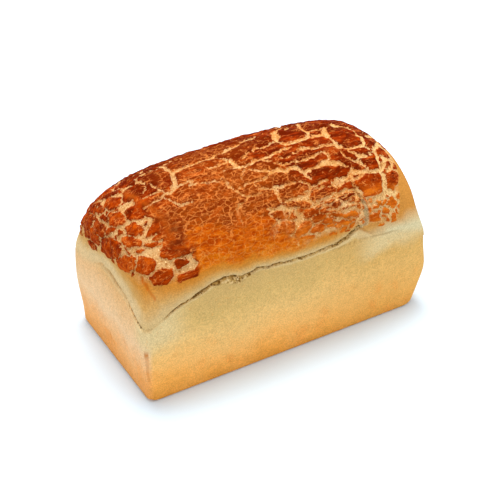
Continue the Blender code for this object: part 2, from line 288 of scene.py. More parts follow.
# %% Lay out the plates of the two ends and the lower front
PLATES = [
    (-70, -2, 7.4, 4.4, -75), (-66, 15, 7.2, 4.6, -65), (-72, 24, 4.6, 2.1, -70),
    (-67, -22, 7.7, 4.3, -35), (-62, -31, 3.8, 2.3, 15), (-60, -39, 2.9, 2.2, -30),
    (-71, -27, 8.0, 3.1, -60), (-84, -7, 13.4, 6.0, -70), (-80, 14, 7.9, 3.7, -85),
    (-86, 21, 9.3, 4.1, -80), (-81, -30, 10.0, 5.1, -65), (-71, -48, 6.7, 5.9, -75),
    (-64, -66, 6.6, 4.5, -25), (-54, -66, 4.7, 2.4, -5), (-53, -78, 7.3, 2.9, -10),
    (-55, -55, 8.8, 3.8, -15), (-63, -41, 5.6, 1.5, -40), (-73, -14, 3.6, 1.8, -55),
    (-77, -1, 4.1, 1.8, -50), (-74, 12, 5.1, 1.8, -85), (-62, -12, 6.7, 4.7, -25),
    (-92, 29, 5.4, 3.5, -85), (-78, 44, 11.0, 7.5, -35), (-63, 29, 9.6, 3.2, -65),
    (-57, 5, 7.0, 6.1, -25), (-52, -11, 8.2, 4.9, -5), (-72, 41, 8.2, 3.8, -70),
    (-55, 25, 8.0, 5.1, -55), (8, -47, 11.9, 5.1, -5), (21, -55, 11.0, 4.0, 0),
    (61, -15, 9.6, 4.4, 45), (39, -47, 6.5, 2.3, 10), (46, -56, 10.9, 7.5, 5),
    (60, -54, 8.1, 5.7, 50), (62, -30, 7.4, 4.6, -40), (63, -40, 6.8, 3.5, 0),
    (32, -55, 6.9, 2.5, 5), (27, -66, 10.0, 3.0, 0), (19, -67, 5.8, 2.5, 5),
    (12, -66, 6.1, 3.0, -10), (27, -78, 11.2, 1.9, -15), (44, -84, 5.5, 3.4, 15),
    (56, -72, 4.6, 3.1, 0), (51, -78, 3.8, 2.0, -10), (55, -87, 5.3, 2.2, -75),
    (45, -75, 2.9, 1.6, 10), (-10, -48, 15.2, 4.0, -5), (5, -76, 7.0, 3.1, 15),
    (-12, -54, 6.2, 2.5, -5), (-4, -61, 6.5, 2.9, 0), (4, -63, 5.5, 2.2, 10),
    (-11, -62, 6.9, 2.7, -5), (14, -72, 5.8, 2.3, -5), (20, -78, 5.9, 2.1, -5),
    (27, -85, 7.4, 1.9, -10), (13, -80, 5.9, 2.1, -5), (-2, -71, 5.2, 2.5, 5),
    (28, -69, 4.5, 1.3, 0), (6, -57, 8.1, 1.8, -20), (19, -93, 6.0, 2.1, -15),
    (7, -84, 5.9, 1.9, -5), (51, -88, 2.6, 1.2, -40), (43, -70, 1.5, 1.2, 15),
    (58, -78, 2.8, 1.3, -65),
]
print(len(PLATES), "plates laid out by hand")

# %% [markdown]
# ## The open cracks
# Over the top the paste lies in one sheet that broke as the dough rose, so
# there it is easier to lay out the cracks than the plates. Each crack is half
# its width in millimetres and a chain of places on the sheet, in thousandths
# of u and v. Most of them run along the loaf, a few across it.

# %% Lay out the cracks of the top
CRACKS = [
    (1.10, -388, 238, -388, 134, -388, 50),
    (1.10, -388, 50, -399, -18, -411, -86, -436, -134, -465, -142),
    (0.86, -465, -142, -494, -154, -525, -154, -557, -142, -582, -138),
    (1.16, -388, 50, -359, 34, -319, 30, -279, 30, -239, 30, -202, 18),
    (0.92, -202, 18, -159, 42, -130, 50), (1.28, -130, 50, -90, 78, -47, 98, 1, 134),
    (0.80, 1, 134, 47, 146, 82, 154),
    (0.68, -531, 170, -519, 106, -505, 50, -499, 2, -488, -46, -476, -90, -465, -142),
    (0.80, -525, 210, -491, 238, -459, 218, -425, 198, -393, 202),
    (0.68, -522, 202, -536, 154, -562, 170, -591, 190), (0.44, -514, 54, -531, 18, -548, -6),
    (0.44, -571, -38, -539, -70, -502, -74, -476, -90),
    (0.62, -485, -182, -465, -226, -456, -263, -451, -295),
    (0.44, -451, -295, -431, -291, -396, -299),
    (0.56, -431, -134, -402, -134, -368, -138, -339, -142),
    (0.44, -362, -166, -325, -178, -288, -198, -247, -214, -210, -222),
    (0.74, -219, -218, -210, -271, -202, -319, -182, -355),
    (0.56, -182, -355, -167, -387, -144, -415, -87, -415),
    (0.80, -139, -419, -159, -431, -182, -443, -216, -459),
    (0.50, -227, -459, -222, -499, -222, -539, -219, -583, -213, -627, -210, -663),
    (1.10, -119, -66, -127, -122, -116, -162, -90, -178),
    (0.80, -90, -178, -64, -166, -33, -142, 7, -146),
    (0.68, 7, -146, 47, -150, 90, -134, 139, -118, 176, -118),
    (0.56, 4, -158, 27, -182, 53, -214, 67, -234),
    (0.68, -96, -178, -102, -214, -130, -238, -133, -279),
    (0.68, -67, -82, -33, -54, 13, -30, 47, -34, 87, -22, 119, 2),
    (2.00, 185, 174, 153, 66, 139, -2), (0.86, 139, -2, 150, -58, 167, -82, 213, -74, 247, -70),
    (0.98, 202, 190, 256, 238, 285, 210, 333, 238),
    (0.56, -187, 18, -156, -14, -142, -58, -122, -74), (0.62, -365, 230, -328, 238, -293, 198),
    (0.44, -253, -62, -210, -82, -170, -86, -133, -94),
    (0.44, -199, -158, -162, -154, -124, -158), (0.56, -76, -210, -44, -238, -13, -255, 4, -283),
    (0.80, -44, -319, -24, -307, 1, -291, 27, -287), (1.52, 39, -287, 62, -299, 84, -307),
    (1.10, 84, -307, 116, -307, 142, -311), (1.04, 142, -311, 147, -351, 156, -391, 167, -411),
    (0.56, -162, -323, -130, -319, -99, -315, -67, -315, -39, -315),
    (0.62, -96, -327, -87, -363, -62, -395, -27, -411),
    (0.68, -27, -411, 10, -407, 50, -411, 93, -415, 127, -415, 150, -451, 159, -471),
    (1.16, -10, -423, -13, -451, -10, -483), (0.80, -10, -483, -10, -523, -10, -563),
    (0.62, -10, -563, -10, -611, -19, -671, -21, -731), (0.74, 159, -471, 142, -503, 124, -543),
    (0.62, 124, -543, 102, -547, 62, -543, 21, -539),
    (0.62, 159, -471, 185, -475, 219, -467, 259, -475, 299, -487, 339, -483),
    (0.62, 339, -483, 373, -463, 391, -423),
    (0.74, 339, -483, 313, -515, 282, -535, 262, -511, 259, -475),
    (0.98, 388, -447, 428, -459, 485, -463, 536, -467),
    (1.16, 536, -467, 551, -499, 539, -559, 525, -623), (1.70, 534, -639, 571, -635, 605, -623),
    (0.68, 371, -467, 376, -511, 396, -511, 428, -483),
    (0.80, 127, -615, 165, -603, 199, -587, 236, -583, 276, -575, 316, -587),
    (0.74, 202, -679, 233, -707, 268, -735, 308, -760), (0.74, 270, -683, 305, -703, 339, -747),
    (0.56, 219, -776, 265, -800, 296, -840, 333, -876), (1.46, 41, -627, 53, -659, 70, -651),
    (0.44, 1, -555, 30, -583, 64, -615), (0.74, 305, 70, 302, 6, 282, -50, 250, -74),
    (0.92, 233, 158, 273, 178, 296, 134, 305, 70), (0.80, 308, 18, 336, 22, 371, 22, 405, 26),
    (1.40, 411, 26, 385, -38, 379, -82), (0.98, 379, -82, 382, -134, 388, -174, 391, -210),
    (0.86, 247, -70, 282, -62, 319, -66, 356, -58, 379, -54),
    (0.68, 199, -154, 233, -162, 265, -182, 302, -186, 339, -190, 373, -182),
    (0.56, 84, -194, 119, -206, 150, -190, 182, -178, 213, -174),
    (0.62, 64, -242, 99, -263, 142, -259, 170, -255, 199, -259, 239, -259, 276, -238, 305,
     -238, 319, -275, 310, -311), (1.28, 236, -343, 273, -331, 308, -335, 339, -355, 371, -383),
    (0.92, 167, -359, 202, -351, 236, -343),
    (0.56, 391, -259, 391, -307, 402, -339, 428, -363, 451, -379, 462, -407, 474, -443),
    (0.74, 431, -271, 442, -303, 456, -323, 462, -363, 456, -395),
    (0.80, 391, -210, 416, -234, 448, -255, 494, -238, 531, -226),
    (0.74, 531, -226, 548, -259, 565, -275, 536, -319, 496, -327, 462, -327),
    (1.58, 554, -98, 562, -122, 551, -178), (0.86, 551, -178, 531, -226),
    (1.04, 611, -86, 688, -22, 700, -66), (1.04, 671, -138, 602, -234, 565, -275),
    (0.86, 565, -275, 568, -327, 559, -383, 557, -431, 551, -467),
    (0.86, 594, -331, 628, -347, 665, -347), (0.86, 602, -359, 574, -419, 551, -467),
    (0.74, 665, -347, 617, -427, 582, -463), (1.46, 474, 98, 482, 46, 514, 50),
    (0.80, 514, 50, 542, 18, 551, -34, 554, -98), (0.92, 333, 238, 308, 122, 305, 70),
    (0.50, 84, -531, 122, -511, 142, -503), (0.56, 273, -643, 299, -671, 328, -687),
]
print(len(CRACKS), "cracks laid out by hand")

# %% [markdown]
# ## Plates of the sides that no one view shows
# The back and the far shoulder get scattered plates of the same sorts. A spot
# is tried at random, and kept where no plate is near: long ones near the
# middle of the loaf and rounder ones towards its ends.

# %% Scatter the plates of the back
def frame_at(u, v):
    step = 0.002
    here = loaf_form(u, v, np.ones_like(u))
    along = loaf_form(u + step, v, np.ones_like(u)) - loaf_form(u - step, v, np.ones_like(u))
    over = loaf_form(u, v + step, np.ones_like(u)) - loaf_form(u, v - step, np.ones_like(u))
    along /= np.linalg.norm(along, axis=1, keepdims=True)
    normal = np.cross(along, over)
    normal /= np.linalg.norm(normal, axis=1, keepdims=True)
    return here, along, np.cross(normal, along), normal


TRIES, TO_CAMERA = 4000, np.array([-0.415, -0.700, 0.581])
rng = np.random.default_rng(12)
tries = np.stack([rng.uniform(-0.93, 0.70, TRIES), rng.uniform(-0.20, 0.97, TRIES)], axis=1)
spots, _, _, facing = frame_at(tries[:, 0], tries[:, 1])
seen = facing @ TO_CAMERA
room_left = spots[:, 2] - tear_height(spots[:, 0], spots[:, 1]) > 0.012
plates = [(u / 100, v / 100, *rest) for u, v, *rest in PLATES]
places = list(frame_at(*np.array(plates).T[:2])[0])
for (u, v), spot, look, fits in zip(tries, spots, seen, room_left):
    endness = ramp(0.35, 0.75, abs(u))
    squeeze = np.array([0.5 + 0.4 * endness, 1.0, 1.0])
    near = np.min(np.linalg.norm((np.array(places) - spot) * squeeze, axis=1))
    if look < 0.30 and fits and near > 0.0092 + 0.002 * math.sin(u * 40 + v * 31):
        plates.append((u, v, rng.uniform(9.0, 15.0) * (1.0 - 0.35 * endness),
                       rng.uniform(4.6, 6.6), rng.normal(0.0, 14.0 + 40.0 * endness)))
        places.append(spot)
print(len(plates), "plates so far")

# %% [markdown]
# ## How deep inside a plate is a point
# A plate ends where its own outline ends, or halfway to its neighbour less
# half a crack. So each point looks for the plates whose stretched distance is
# least. The result is a signed depth in millimetres, above zero on a plate and
# below zero in a crack, and both the relief and the colour read it. The
# points are first pushed about by noise, so that the outlines come out ragged.

# %% Measure the depth
# points in one go, plates to look at, half the least crack and what is added to it
BATCH, NEAREST, LEAST_CRACK, MORE_CRACK = 4000, 5, 0.00028, 0.0008


def plate_depth(points, grown):
    u, v, half_long, half_wide, turned = np.array(plates).T
    half_long, half_wide, turned = half_long / 1000.0, half_wide / 1000.0, np.radians(turned)
    middle, along, over, normal = frame_at(u, v)
    axis_long = np.cos(turned)[:, None] * along + np.sin(turned)[:, None] * over
    axis_wide = np.cos(turned)[:, None] * over - np.sin(turned)[:, None] * along
    place = points.copy()
    for size, strength, seed in ((0.010, 0.0016, 5), (0.0042, 0.0013, 9), (0.0021, 0.0008, 17)):
        for axis in range(3):
            place[:, axis] += strength * soft_noise(points, size, seed + axis, 1.7)
    depth = np.empty(len(points))
    owner = np.empty(len(points), dtype=int)
    for start in range(0, len(points), BATCH):
        now = slice(start, start + BATCH)
        some = place[now][:, None, :] - middle[None, :, :]
        a = np.abs(np.sum(some * axis_long, axis=2)) / half_long
        b = np.abs(np.sum(some * axis_wide, axis=2)) / half_wide
        c = np.abs(np.sum(some * normal, axis=2)) / (half_wide * 2.2)
        far = (a ** 2.5 + b ** 2.5 + c ** 2.5) ** 0.4 + 1e-6
        reach = np.linalg.norm(some, axis=2) / far
        near = np.argpartition(far, NEAREST - 1, axis=1)[:, :NEAREST]
        rank = np.take_along_axis(far, near, axis=1).argsort(axis=1)
        near = np.take_along_axis(near, rank, axis=1)
        far = np.take_along_axis(far, near, axis=1)
        reach = np.take_along_axis(reach, near, axis=1)
        inside = grown[now] - far[:, 0]
        inside *= np.minimum(reach[:, 0], 1.4 * half_wide[near[:, 0]])
        shared = reach[:, :1] * reach[:, 1:] / (reach[:, :1] + reach[:, 1:])
        pair = near[:, :1] * near[:, 1:] % 13 / 12.0
        border = (far[:, 1:] - far[:, :1]) * shared - LEAST_CRACK - MORE_CRACK * pair * pair
        depth[now] = np.minimum(inside, border.min(axis=1))
        owner[now] = near[:, 0]
    return depth * 1000.0, owner


# %% [markdown]
# ## Small islands
# Low at the right of the front and on the left end the paste also lay in
# drops, and just left of the fold in short strips. A small island goes
# wherever the depth says that a gap is wide enough and no other is close.

# %% Fill the wide gaps with islands
# how far a plate reaches, as a share of its own half sizes
PLATE_REACH = 1.27


def fill_gaps(u_range, v_range, tries, apart, long_range, wide_range, turn_range):
    spread = np.stack([rng.uniform(*u_range, tries), rng.uniform(*v_range, tries)], axis=1)
    spots = frame_at(*spread.T)[0]
    gap_here = plate_depth(spots, np.full(tries, PLATE_REACH))[0]
    for (u, v), spot, deep in zip(spread, spots, gap_here):
        near = np.min(np.linalg.norm(np.array(places) - spot, axis=1))
        if deep < -0.35 * apart and near > apart / 1000.0:
            plates.append((u, v, rng.uniform(*long_range), rng.uniform(*wide_range),
                           rng.uniform(*turn_range)))
            places.append(spot)
    print(len(plates), "plates with these islands")


fill_gaps((0.20, 0.62), (-0.95, -0.58), 160, 4.2, (1.5, 3.2), (1.0, 1.9), (-60.0, 60.0))
fill_gaps((-0.92, -0.59), (-0.42, 0.34), 200, 4.2, (1.5, 3.2), (1.0, 1.9), (-60.0, 60.0))
fill_gaps((0.14, 0.36), (-0.84, -0.46), 260, 3.0, (2.4, 4.6), (0.8, 1.4), (-14.0, 14.0))


# %% [markdown]
# ## The whole field
# Where the paste lay in one sheet only the cracks count, elsewhere both do. A
# crack's half width swells and shrinks a little along it.

# %% Noise on the loaf, and the way to a chain of points
def lumps(size, seed, stretch=1.0):
    return soft_noise(plain, size, seed, stretch)


def noise_push(points, strength, size, seeds):
    return strength * np.stack([soft_noise(points, size, seed) for seed in seeds], axis=1)


def to_chain(points, chain):
    least = np.full(len(points), 1.0)
    for start, end in zip(chain[:-1], chain[1:]):
        along = end - start
        share = np.clip((points - start) @ along / max(along @ along, 1e-12), 0.0, 1.0)
        off = points - start - share[:, None] * along
        least = np.minimum(least, np.linalg.norm(off, axis=1))
    return least


print("noise lies between %.2f and %.2f" % (lumps(0.01, 1).min(), lumps(0.01, 1).max()))

# %% Put plates and cracks together
def crack_depth(points):
    best = np.full(len(points), 0.02)
    nudged = points + noise_push(points, 0.0012, 0.0042, (91, 93, 95))
    nudged += noise_push(points, 0.0008, 0.0021, (92, 94, 96))
    swell = 1.12 + 0.55 * soft_noise(points, 0.0050, 97, 1.5)
    swell += 0.30 * ramp(0.015, 0.050, points[:, 0])
    for half, *chain in CRACKS:
        spots = np.array(chain, dtype=float).reshape(-1, 2) / 1000.0
        fine = np.linspace(0, len(spots) - 1, 4 * len(spots) - 3)
        chained = [np.interp(fine, np.arange(len(spots)), spots[:, side]) for side in (0, 1)]
        corners = frame_at(*chained)[0]
        reach = np.ptp(corners, axis=0) / 2 + 0.02
        near = np.all(np.abs(points - corners.mean(axis=0)) < reach, axis=1)
        crack_edge = 0.00015 + half / 1000.0 * swell[near]
        best[near] = np.minimum(best[near], to_chain(nudged[near], corners) - crack_edge)
    return best * 1000.0


crusted = on_dome & (above_tear > 0.002)
wavering = across_x + 0.020 * lumps(0.006, 59) + 0.008 * lumps(0.0025, 63)
in_islands = np.maximum.reduce([
    ramp(-0.560, -0.600, wavering - 0.11 * ramp(-0.58, -0.64, across_y)),
    ramp(-0.42, -0.50, across_y) * ramp(-0.16, -0.08, across_x),
    ramp(0.56, 0.62, across_x) * ramp(0.10, 0.0, across_y), ramp(0.24, 0.30, across_y),
    ramp(0.66, 0.72, across_x)])
grown = PLATE_REACH + 0.06 * ramp(-0.50, -0.30, across_x) * ramp(0.55, 0.45, across_x)
grown += 0.05 * ramp(0.2, 0.3, across_y)
grown += 0.20 * ramp(-0.20, 0.0, across_y) * ramp(-0.50, -0.58, across_x)
depth = np.full(len(plain), -5.0)
owner = np.zeros(len(plain), dtype=int)
depth[crusted], owner[crusted] = plate_depth(plain[crusted], grown[crusted])
depth = np.maximum(depth, -6.0) + 18.0 * (1.0 - in_islands)
depth[crusted] = np.minimum(depth[crusted], crack_depth(plain[crusted]))
print("on plates: %.0f %% of the dome" % (100 * np.mean(depth[crusted] > 0)))

# %% [markdown]
# ## Zones of the crust
# The paste doesn't reach down to the tear, and at the right end it stops well
# short of it. On the front shoulder it was washed thin, so there it baked to a
# smooth orange skin with a fine network in place of plates, and in three
# narrow strips it was rubbed off. A blob is a soft oval on the sheet, given
# as its middle and half sizes in u and v.

# %% Paint the zones
def blob(u0, v0, half_u, half_v, turn=0.0, hard=0.35):
    c, s = math.cos(math.radians(turn)), math.sin(math.radians(turn))
    du, dv = across_x - u0, across_y - v0
    a, b = (c * du + s * dv) / half_u, (c * dv - s * du) / half_v
    wobble = 0.22 * lumps(0.012, 51) + 0.12 * lumps(0.005, 57)
    return ramp(1.0 + hard, 1.0 - hard, np.hypot(a, b) + wobble) * on_dome


margin = np.interp(across_x, [-0.75, -0.66, -0.59, -0.52, -0.3, 0.1, 0.6],
                   [0.027, 0.023, 0.019, 0.017, 0.011, 0.007, 0.008])
margin = np.where(across_y > 0.2, 0.014, margin)
left_margin = np.interp(across_y, [-0.47, -0.38, -0.16, 0.02, 0.24, 0.50],
                        [0.027, 0.024, 0.016, 0.010, 0.010, 0.014])
margin += (left_margin - margin) * ramp(-0.72, -0.80, across_x)
ragged_line = 0.0030 * lumps(0.014, 61) + 0.0012 * lumps(0.005, 67)
more_ragged = ramp(-0.36, -0.28, across_x) * ramp(0.35, 0.20, across_x)
more_ragged *= ramp(-0.3, -0.5, across_y)
below_paste = above_line - margin + ragged_line * (1.0 + more_ragged)
right_end = np.interp(across_y, [-0.89, -0.735, -0.61, -0.475, -0.31, -0.18, 0.0, 0.3, 0.9],
                      [0.574, 0.597, 0.622, 0.654, 0.694, 0.705, 0.690, 0.66, 0.60])
past_end = across_x - right_end + (3.0 + 8.0 * ramp(0.0, 0.3, across_y)) * ragged_line
paste = ramp(-0.0015, 0.0020, below_paste) * ramp(0.010, -0.004, past_end) * on_dome
depth = np.where(across_x < -0.5, np.minimum(depth, 900.0 * below_paste - 0.2), depth)
bare_cream = ramp(-0.0010, 0.0090, below_paste) * ramp(0.020, -0.020, past_end) * on_dome
strip_line = np.interp(across_y, [-0.55, -0.32, -0.17, 0.09], [-0.535, -0.54, -0.56, -0.60])
strip_now = np.exp(-(((across_x - strip_line) / 0.014) ** 2))
strip_now *= ramp(0.20, 0.08, across_y) * ramp(-0.52, -0.40, across_y)
washed = np.maximum.reduce([
    blob(-0.30, -0.78, 0.27, 0.22, 8, 0.6), blob(-0.14, -0.86, 0.22, 0.13),
    0.9 * blob(-0.41, -0.62, 0.14, 0.16, 0, 0.6)])
washed *= 1.0 - ramp(-0.44, -0.50, wavering) * ramp(-0.56, -0.62, across_y)
rubbed = np.maximum.reduce([
    strip_now, blob(-0.22, -0.57, 0.022, 0.17), blob(-0.02, -0.70, 0.022, 0.13)])
netted = np.maximum.reduce([
    blob(-0.27, -0.40, 0.32, 0.36), 0.5 * blob(-0.24, 0.08, 0.28, 0.18),
    0.8 * blob(0.00, -0.62, 0.22, 0.18)])
thin_paste = np.maximum.reduce([
    ramp(-0.62, -0.86, across_y) * ramp(0.45, 0.35, across_x) * ramp(-0.10, 0.05, across_x),
    ramp(-0.52, -0.66, across_y) * ramp(0.36, 0.42, across_x), 0.25 * netted])
smoke = np.maximum(blob(-0.525, -0.50, 0.045, 0.12), 0.5 * blob(-0.55, -0.36, 0.05, 0.12))
fold_line = np.interp(across_y, [-0.98, -0.92, -0.82, -0.73, -0.66, -0.60, -0.53],
                      [0.353, 0.382, 0.388, 0.388, 0.379, 0.368, 0.359])
past_fold = (across_x - fold_line) * 150.0
fold = np.exp(-((past_fold / 0.8) ** 2)) * ramp(-0.51, -0.56, across_y) * on_dome
fold *= 1.0 - 0.6 * ramp(-0.66, -0.76, across_y)
past_fold += 1.2 * lumps(0.003, 55)
fold_pale = np.exp(-(((past_fold - 0.6) / 2.0) ** 2)) * ramp(-0.62, -0.76, across_y) * on_dome
to_line = loaf_z - crease_height + 0.0004 * lumps(0.005, 38)
crease = np.exp(-((to_line / 0.0007) ** 2)) * ramp(0.026, 0.040, loaf_x)
crease *= ramp(0.106, 0.086, loaf_x) * ramp(-0.04, -0.06, loaf_y)
print("washed %.1f %% of the dome" % (100 * washed[on_dome].mean()))
print("paste %.1f %% of the dome" % (100 * paste[on_dome].mean()))


# %% [markdown]
# ## Marks and crumbs
# Paste ran down at the near corner and burnt, the corner itself is scorched,
# and bubbles left pinholes in the end. They could be painted on an image, but
# short chains of points on the sheet need none and stay sharp. Where the tear
# gaped widest, the loaf's own crumb shows.

# %% Small marks: a burnt drip, a scorched near corner, pinholes in the end
def mark(half, *chain):
    spots = loaf_form(*np.array(chain, dtype=float).reshape(-1, 3).T / 1000.0)
    soft = plain + noise_push(plain, 0.0008, 0.003, (71, 73, 75))
    return ramp(half * 0.0014, half * 0.0006, to_chain(soft, spots))


drip = mark(1.5, -757, -511, 1000, -748, -619, 1000)
drip = np.maximum(drip, 0.7 * mark(1.1, -748, -619, 1000, -728, -743, 1000))
corner_mark = np.maximum(0.9 * mark(1.7, -1000, -930, 715, -1000, -930, 655),
                         0.40 * mark(1.2, -1000, -930, 640, -1000, -940, 320))
pinhole = np.maximum.reduce([mark(0.9, -1000, v, w, -1000, v + 5, w)
                             for v, w in ((-140, 320), (6, 293), (120, 470), (-350, 240))])
print("marked points:", int((drip + corner_mark + pinhole > 0.3).sum()))

# %% Where the tear opened into crumbs
crumb_width = np.interp(loaf_x, [-0.112, -0.100, -0.070, -0.060, -0.042, -0.036,
                                 0.028, 0.038, 0.056, 0.062],
                        [0.4, 1.3, 1.6, 5.0, 4.6, 1.3, 1.4, 1.0, 1.0, 0.3])
crumb_top = np.interp(loaf_x, [0.022, 0.030, 0.040, 0.056, 0.061, 0.066],
                      [0.3, 1.5, 2.4, 2.8, 1.4, 0.3])
lip_width = np.interp(loaf_x, [-0.06, -0.04, 0.020, 0.034, 0.056, 0.070],
                      [2.6, 2.4, 3.0, 3.6, 6.0, 5.0])
crumb_width = np.where(loaf_y > -0.055, 0.5 + 0.8 * (loaf_y > 0.055), crumb_width)
crumb_width *= 1.0 + 0.35 * lumps(0.006, 53)
below_mm = -above_tear * 1000.0
crumby = ramp(-0.5, 0.3, below_mm + crumb_top) * (crumb_width > 0.8)
crumby *= ramp(crumb_width + 0.4, crumb_width - 0.4, below_mm)
crumby = np.where(loaf_y < -0.050, crumby, crumby * (below_mm > -0.3))
lip = ramp(0.5, 1.2, below_mm) * ramp(lip_width + 0.6, lip_width - 0.8, below_mm) * (1.0 - crumby)
corner_faint = ramp(-0.104, -0.112, loaf_x) * ramp(-0.056, -0.060, loaf_y)
left_faint = ramp(-0.110, -0.120, loaf_x) * ramp(-0.040, -0.030, loaf_y)
left_faint *= np.interp(loaf_y, [-0.045, -0.020, 0.0, 0.030, 0.055, 0.060],
                        [0.35, 0.40, 0.60, 0.85, 0.85, 0.4])
tear_dark = 1.0 - np.maximum(0.80 * corner_faint, left_faint)
print("crumbs along the tear:", int((crumby > 0.5).sum()), "points")

# %% [markdown]
# ## Raising the skin
# Each vertex is moved straight out of the loaf: plates by about a millimetre,
# the dome by its slow lumps, the fold inwards. Along the tear runs a ragged
# groove with the wall's own thin lip below it, deep where the dough tore and
# hardly there where it only folded, at the right of the front.

# %% Name the relief
PLATE_RISE, WASHED_RISE, DOME_LUMPS = 0.0013, 0.0004, 0.0009
FOLD_DEPTH, CREASE_DEPTH, MARK_DEPTH, PINHOLE_DEPTH = 0.0016, 0.0006, 0.0003, 0.0008
GROOVE_DEPTH, GROOVE_HALF, LIP_OUT, LIP_BELOW = 0.0017, 0.0009, 0.0005, 0.0019
print("plates rise %.1f mm" % (PLATE_RISE * 1000))

# %% Move the vertices
away = outward(plain)
flat_away = away * np.array([1.0, 1.0, 0.0])
flat_away /= np.maximum(np.linalg.norm(flat_away, axis=1, keepdims=True), 1e-6)
torn = 1.0 - 0.97 * ramp(0.066, 0.072, loaf_x) * ramp(0.040, -0.040, loaf_y)
torn *= 1.0 - 0.7 * ramp(-0.085, -0.105, loaf_x) * ramp(0.0, 0.04, loaf_y)
torn *= 0.30 + 0.70 * tear_dark

plate_step = ramp(-0.25, 0.75, depth) * paste
lift = PLATE_RISE * plate_step * (1.0 - 0.75 * washed) + WASHED_RISE * washed * paste
lift += 0.0008 * lumps(0.0026, 83, 1.5) * ramp(-0.30, -0.05, across_y) * plate_step
lift += 0.0005 * lumps(0.0050, 87, 1.5) * ramp(-0.30, -0.05, across_y) * plate_step
lift *= 0.35 + 0.65 * ramp(-0.01, -0.12, past_end)
fine_lumps = 0.0003 * lumps(0.0030, 81, 2.0)
lift += (fine_lumps + 0.0005 * lumps(0.0065, 85) * ramp(0.60, 0.45, across_x)) * paste
lift += DOME_LUMPS * lumps(0.034, 3) * on_dome * ~rim_edge
lift -= FOLD_DEPTH * fold + CREASE_DEPTH * crease
lift -= MARK_DEPTH * (drip + corner_mark) + PINHOLE_DEPTH * pinhole
ragged = 1.0 + 0.75 * lumps(0.009, 23) + 0.5 * lumps(0.0035, 29)
middle_front = ramp(-0.034, -0.022, loaf_x) * ramp(0.046, 0.036, loaf_x)
middle_front *= loaf_y < 0.0
ragged = np.maximum(ragged - 0.45 * middle_front, 0.10)
wander = 0.0005 * lumps(0.006, 37)
groove = np.exp(-(((above_tear + wander) / (GROOVE_HALF - 0.0002 * middle_front)) ** 2))
wall_lip = np.exp(-(((above_tear + wander + LIP_BELOW) / GROOVE_HALF) ** 2))
sideways = (LIP_OUT * wall_lip - GROOVE_DEPTH * groove) * ragged * torn * (up_wall > 0.15)
sideways += 0.00025 * lumps(0.015, 43) * ~on_dome * (up_wall > 0.15)
sideways += (0.0007 * lumps(0.0026, 47) - 0.0005) * crumby * torn
hem = 0.0012 * lumps(0.0075, 31) + 0.0007 * lumps(0.003, 33)
hem *= torn * np.exp(-((above_tear / 0.005) ** 2)) * (up_wall > 0.9)

shaped = plain + away * lift[:, None] + flat_away * sideways[:, None]
shaped[:, 2] += hem
shaped -= MIDDLE
mesh.vertices.foreach_set("co", shaped.ravel())
mesh.update()
bpy.ops.object.select_all(action="DESELECT")
loaf.select_set(True)
bpy.context.view_layer.objects.active = loaf
bpy.ops.object.shade_smooth()
print("dressed loaf", shaped.min(axis=0).round(4), shaped.max(axis=0).round(4))

# %% [markdown]
# ## What the material needs to know
# The measures are stored on the mesh as named attributes, one number a vertex.
# A shader could find some of them from height alone, but not the plates. The
# attributes travel with the mesh, so the pattern can't slide.

# %% Store the attributes
tone = np.random.default_rng(77).uniform(0.0, 1.0, len(plates))
left_low = ramp(-0.108, -0.120, loaf_x)
near_corner = ramp(-0.084, -0.112, loaf_x) * ramp(-0.040, -0.056, loaf_y)
pace = 1.0 - 0.5 * np.maximum(left_low, near_corner)
pace += 0.5 * ramp(-0.50, -0.25, across_x) * ramp(0.40, 0.20, across_x)
measures = {
    "plate_depth": np.clip(depth, -4.0, 4.0), "plate_tone": tone[owner], "paste": paste,
    "washed": washed, "rubbed": rubbed, "smoke": smoke, "netted": netted, "thin_paste": thin_paste,
    "fold": fold, "fold_pale": fold_pale, "crease": crease, "bare_cream": bare_cream,
    "above_line": np.where(above_line > 0.0, above_line * pace, above_line) * 1000.0,
    "above_tear": above_tear * 1000.0, "torn": torn * tear_dark, "crumby": crumby * torn,
    "lip": lip * torn * tear_dark, "drip": drip, "corner_mark": np.maximum(corner_mark, pinhole),
    "left_end": ramp(-0.119, -0.1245, loaf_x),
    "left_cream": left_low * ramp(-0.060, -0.046, loaf_y),
    "near_corner": near_corner, "right_side": ramp(-0.02, 0.10, loaf_x),
}
for name, values in measures.items():
    layer = mesh.attributes.new(name, "FLOAT", "POINT")
    layer.data.foreach_set("value", np.ascontiguousarray(values, dtype=np.float32))
print([layer.name for layer in mesh.attributes])

# %% [markdown]
# ## A few words for building shaders
# Node trees are long to write by hand, so a small set of helpers adds one node
# and links its inputs. Colours are given as they look on a screen, 0 to 255,
# and turned to the linear values that the shader works in.

# %% Shader helpers
def paint(red, green, blue):
    out = []
    for part in (red, green, blue):
        part = part / 255.0
        out.append(part / 12.92 if part <= 0.04045 else ((part + 0.055) / 1.055) ** 2.4)
    return (*out, 1.0)


